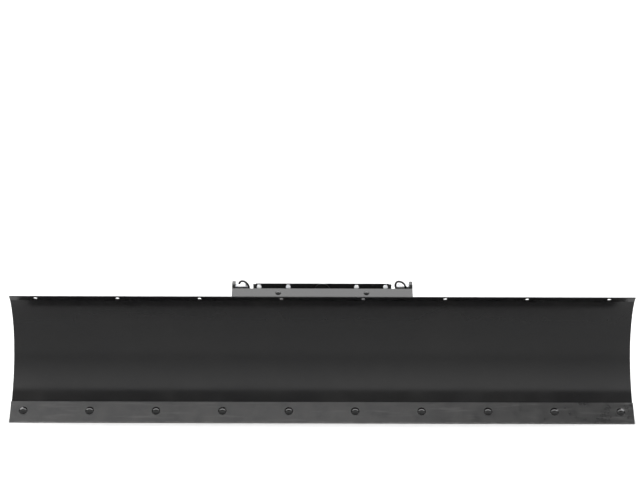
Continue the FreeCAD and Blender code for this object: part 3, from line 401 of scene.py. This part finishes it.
def bead(points):
    """A weld bead with ripples and rounded ends."""
    path = walk(points, RIPPLE / RIPPLE_STEPS)
    radii = []
    for i in range(len(path)):
        to_end = min(i, len(path) - 1 - i)
        taper = min(1.0, END_SIZE + to_end / END_STEPS)
        even = 0.10 * math.cos(2 * math.pi * i / RIPPLE_STEPS)
        uneven = 0.06 * math.sin(0.7 * i)
        radii.append(BEAD_R * taper * (1.0 + even + uneven))
    return sweep(path, radii, BEAD_AROUND)


# ---- weld beads ---------------------------------------------------------------
ARC_STEPS = 18


def arc_path(x, low, high):
    """Along the sheet's back between two angles, at one x."""
    points = []
    for i in range(ARC_STEPS + 1):
        point = sheet_back(low + (high - low) * i / ARC_STEPS)
        points.append(Vector((x, point.y, point.z)))
    return points


# where beads start and end on the roll, in degrees above the deepest point
RIB_WELDS = {"end_rib": (-27, 43.5), "shoe_rib": (-27, 43.5), "centre_rib": (-28, 42.5)}
STIFFENER_GAPS = ((-3.5, 4.0), (26.0, 41.5))
ANGLE_TOES = (26.6, 40.4)


def skip_ranges(low, high, gaps):
    """The stretches from low to high that the gaps leave."""
    ranges = []
    start = low
    for gap_low, gap_high in gaps:
        ranges.append((start, gap_low))
        start = gap_high
    ranges.append((start, high))
    return ranges


def rib_welds(name, low, high):
    """Beads on both sides of a rib, broken where the stiffeners cross."""
    box_low, box_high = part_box(name)
    shells = []
    for x in (box_low.x, box_high.x):
        for start, end in skip_ranges(low, high, STIFFENER_GAPS):
            shells.append(bead(arc_path(x, start, end)))
    return shells


STITCH = 45.0 * MM
STITCH_PITCH = 190.0 * MM
STITCH_OFF = 0.3 * MM     # from the tube's front to a bead's middle


def stitch(x, y, z):
    """A short bead along the blade."""
    return bead([Vector((x - STITCH / 2, y, z)), Vector((x + STITCH / 2, y, z))])


def stiffener_stitches():
    """Short beads along the stiffener tube and along both toes of the top angle."""
    shells = []
    tube_low, tube_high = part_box("stiffener_tube")
    count = int((tube_high.x - tube_low.x) / STITCH_PITCH)
    for i in range(count):
        x = tube_low.x + (i + 0.5) * (tube_high.x - tube_low.x) / count
        shells += [stitch(x, tube_low.y + STITCH_OFF, z) for z in (tube_low.z, tube_high.z)]
        for angle in ANGLE_TOES:
            toe = sheet_back(angle)
            shells.append(stitch(x, toe.y, toe.z))
    return shells


def add_weld_piece(name, shells):
    piece = joined(name, shells, WELD)
    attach(piece, "blade")


def add_welds():
    for kind, (low, high) in RIB_WELDS.items():
        for side, _ in SIDES:
            name = kind + "_" + side
            add_weld_piece(name + "_welds", rib_welds(name, low, high))
    add_weld_piece("stiffener_welds", stiffener_stitches())


# ---- trip springs -------------------------------------------------------------
SPRING_X = 232.0 * MM
WIRE_R = 3.25 * MM
WIRE_AROUND = 10
COIL_R = 18.75 * MM
COIL_PITCH = 7.1 * MM
COIL_START = 27.0 * MM    # from a spring bolt to the first turn
TURN_STEPS = 22
HOOK_R = 17.5 * MM
HOOK_TURN = math.radians(32.0)     # how far the ring is turned about the spring
HOOK_FROM = -52                    # where the ring starts and how far it runs, degrees
HOOK_SWEEP = 304
HOOK_STEPS = 15
LEAD_OUT = 0.55                    # the bend out of the coil, in coil radii
LEAD_DROP = 2.0 * MM
CURVE_STEPS = 5


def smooth_path(points):
    """Catmull-Rom curve through the points."""
    ends = [points[0] * 2 - points[1]] + points + [points[-1] * 2 - points[-2]]
    curve = []
    for a, b, c, d in zip(ends, ends[1:], ends[2:], ends[3:]):
        for i in range(CURVE_STEPS):
            t = i / CURVE_STEPS
            bend = a * 2 - b * 5 + c * 4 - d
            twist = b * 3 - a - c * 3 + d
            curve.append(0.5 * ((b * 2) + (c - a) * t + bend * t * t + twist * t ** 3))
    return curve + [points[-1]]


def hook(anchor, along, across, coil_end, coil_tangent):
    """A ring round the bolt that runs out of the coil's last turn. along points to the coil."""
    loop = []
    for i in range(HOOK_STEPS + 1):
        turn = math.radians(HOOK_FROM + HOOK_SWEEP * i / HOOK_STEPS)
        loop.append(anchor + (across * math.cos(turn) - along * math.sin(turn)) * HOOK_R)
    lead = coil_end + coil_tangent * (COIL_R * LEAD_OUT) - along * LEAD_DROP
    return smooth_path([coil_end, lead] + loop)


def bolt_place(bolts, side):
    """Where a trip spring's hook hangs on one of a pair of bolts."""
    low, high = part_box(bolts)
    return Vector((side * SPRING_X, (low.y + high.y) / 2, (low.z + high.z) / 2))


def trip_spring(side_name, side):
    """Wound wire with a hook at each end, from the blade's bolt to the trip frame's."""
    top = bolt_place("upper_spring_bolts", side)
    low = bolt_place("lower_spring_bolts", side)
    along = (low - top).normalized()
    coiled = (low - top).length - 2 * COIL_START
    right = Vector((-side, 0.0, 0.0))
    rise = along.cross(right)
    total = round(coiled / COIL_PITCH) * TURN_STEPS
    coil = []
    for i in range(total + 1):
        turn = 2 * math.pi * i / TURN_STEPS
        out = right * math.cos(turn) + rise * math.sin(turn)
        coil.append(top + along * (COIL_START + coiled * i / total) + out * COIL_R)
    across = (right * math.cos(HOOK_TURN) + rise * math.sin(HOOK_TURN)).normalized()
    upper = hook(top, along, across, coil[0], rise * -1)
    lower = hook(low, along * -1, across, coil[-1], rise)
    path = list(reversed(upper))[:-1] + coil + lower[1:]
    vertices, faces = sweep(path, [WIRE_R] * len(path), WIRE_AROUND)
    piece = mesh_object("spring_" + side_name, vertices, faces, MATERIALS["spring_wire"])
    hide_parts("trip_spring_" + side_name)
    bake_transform(piece)


# ---- finish on the carried-over parts ------------------------------------------
EDGE_ROUND = 0.4          # mm
SOFT_EDGE = {
    "wear_bar": 0.8,
    "spring_plate": 1.0,
    "kingpin_upper_plate": 0.9,
    "sector_plate": 0.9,
}
SHARP = math.radians(28)
WELD_DISTANCE = 0.00001
# parts that get the painted-shade coat
IN_PAINTED_SHADE = ("crossbar", "crossbar_doubler", "lift_lug")


def finish_nodes():
    """Give every node its material, a small round on its sharp edges and even shading."""
    slots = {entry["node"]: entry["material_slot"] for entry in frame["record"]["subparts"]}
    for name, node in frame["nodes"].items():
        node.data.materials.clear()
        # parts in the spring plate's shade get the darker painted-shade coat
        node.data.materials.append(SHADED_COAT if name in IN_PAINTED_SHADE else MATERIALS[slots[name]])
        weld = node.modifiers.new("weld", "WELD")
        weld.merge_threshold = WELD_DISTANCE
        bevel = node.modifiers.new("bevel", "BEVEL")
        bevel.width = SOFT_EDGE.get(name, EDGE_ROUND) * MM
        bevel.segments = 2
        bevel.limit_method = "ANGLE"
        bevel.angle_limit = SHARP
        bevel.face_strength_mode = "FSTR_ALL"
        shading = node.modifiers.new("shading", "WEIGHTED_NORMAL")
        shading.mode = "FACE_AREA_WITH_ANGLE"
        shading.use_face_influence = True


# ---- stage, light and camera ---------------------------------------------------
FLOOR_HALF = 30.0
FLOOR_DROP = 0.0005       # keeps the floor off the soles


def add_stage():
    half = FLOOR_HALF
    corners = [(-half, -half, 0.0), (half, -half, 0.0), (half, half, 0.0), (-half, half, 0.0)]
    material, _, _ = shader("floor", grey(0.30), 1.0, 0.0, 0.0)
    floor = mesh_object("floor", [Vector(c) for c in corners], [(0, 1, 2, 3)], material, False)
    floor.location.z = -FLOOR_DROP


AIM = Vector((0.0, 0.0, 0.2))
# name, place, size, power
LAMPS = (
    ("key", (-2.4, -3.0, 3.2), (2.4, 2.0), 20.0),
    ("fill", (2.6, 2.6, 3.0), (2.0, 2.0), 25.0),
)


def add_lamp(name, place, size, power):
    light = bpy.data.lights.new(name, "AREA")
    light.shape = "RECTANGLE"
    light.size, light.size_y = size
    light.energy = power
    lamp = bpy.data.objects.new(name, light)
    bpy.context.scene.collection.objects.link(lamp)
    lamp.location = place
    lamp.rotation_euler = (AIM - Vector(place)).to_track_quat("-Z", "Y").to_euler()
    lamp.visible_glossy = False


SOFTBOX = 10.3            # brightness of the softbox overhead
REAR_LIGHT = 2.8          # brightness of the light from behind
# rise above the horizon, seen along the blade, and brightness there
BANDS = ((0.0, 1.18), (0.12, 1.24), (0.665, 2.35), (0.715, 0.16), (1.0, 0.2))


def add_world():
    """White studio: pale bands along the blade's length, a dark gap, and a softbox overhead."""
    world = bpy.data.worlds.new("studio")
    bpy.context.scene.world = world
    world.use_nodes = True
    tree = world.node_tree
    background = tree.nodes["Background"]
    split = tree.nodes.new("ShaderNodeSeparateXYZ")
    tree.links.new(tree.nodes.new("ShaderNodeTexCoord").outputs["Generated"], split.inputs["Vector"])
    across = math_node(tree, "POWER", split.outputs["X"], 2.0)
    flat = math_node(tree, "SQRT", math_node(tree, "SUBTRACT", 1.0001, across), 0.0)
    rise = math_node(tree, "DIVIDE", split.outputs["Z"], flat)
    behind = math_node(tree, "DIVIDE", split.outputs["Y"], flat)
    ramp = tree.nodes.new("ShaderNodeValToRGB")
    while len(ramp.color_ramp.elements) < len(BANDS):
        ramp.color_ramp.elements.new(0.5)
    for element, (place, level) in zip(ramp.color_ramp.elements, BANDS):
        element.position = place
        element.color = (*grey(level / SOFTBOX), 1.0)
    tree.links.new(rise, ramp.inputs["Fac"])
    high = remap(tree, rise, 0.88, 0.935, 0.0, 1.0)
    ends = remap(tree, across, 0.6, 0.8, 1.0, 0.0)
    box = math_node(tree, "MULTIPLY", high, remap(tree, behind, 0.45, 0.6, 1.0, 0.0))
    box = math_node(tree, "MULTIPLY", box, ends)
    rear = remap(tree, split.outputs["Y"], 0.15, 0.6, 0.0, REAR_LIGHT / SOFTBOX)
    front = math_node(tree, "MAXIMUM", ramp.outputs["Color"], box)
    tree.links.new(math_node(tree, "MAXIMUM", front, rear), background.inputs["Color"])
    background.inputs["Strength"].default_value = SOFTBOX


CAMERA_X = -0.0072
CAMERA_BACK = 5.01        # from the lip
CAMERA_HEIGHT = 0.80
CAMERA_PITCH = math.radians(3.023)
CAMERA_ROLL = math.radians(0.15)
CAMERA_LENS = 96.72
LIP_IN = 0.01             # from the lip's front edge to about its middle


def add_camera():
    data = bpy.data.cameras.new("camera")
    data.lens = CAMERA_LENS
    camera = bpy.data.objects.new("camera", data)
    bpy.context.scene.collection.objects.link(camera)
    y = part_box("moldboard")[0].y + LIP_IN - CAMERA_BACK
    pitch = Matrix.Rotation(math.pi / 2 - CAMERA_PITCH, 4, "X")
    roll = Matrix.Rotation(CAMERA_ROLL, 4, "Z")
    camera.matrix_world = Matrix.Translation((CAMERA_X, y, CAMERA_HEIGHT)) @ pitch @ roll
    bpy.context.scene.camera = camera


# ---- build --------------------------------------------------------------------
add_camera()
add_world()
add_stage()
for lamp_values in LAMPS:
    add_lamp(*lamp_values)
bpy.context.scene.view_settings.view_transform = "Standard"

finish_nodes()
add_welds()
for side_name, side in SIDES:
    trip_spring(side_name, side)
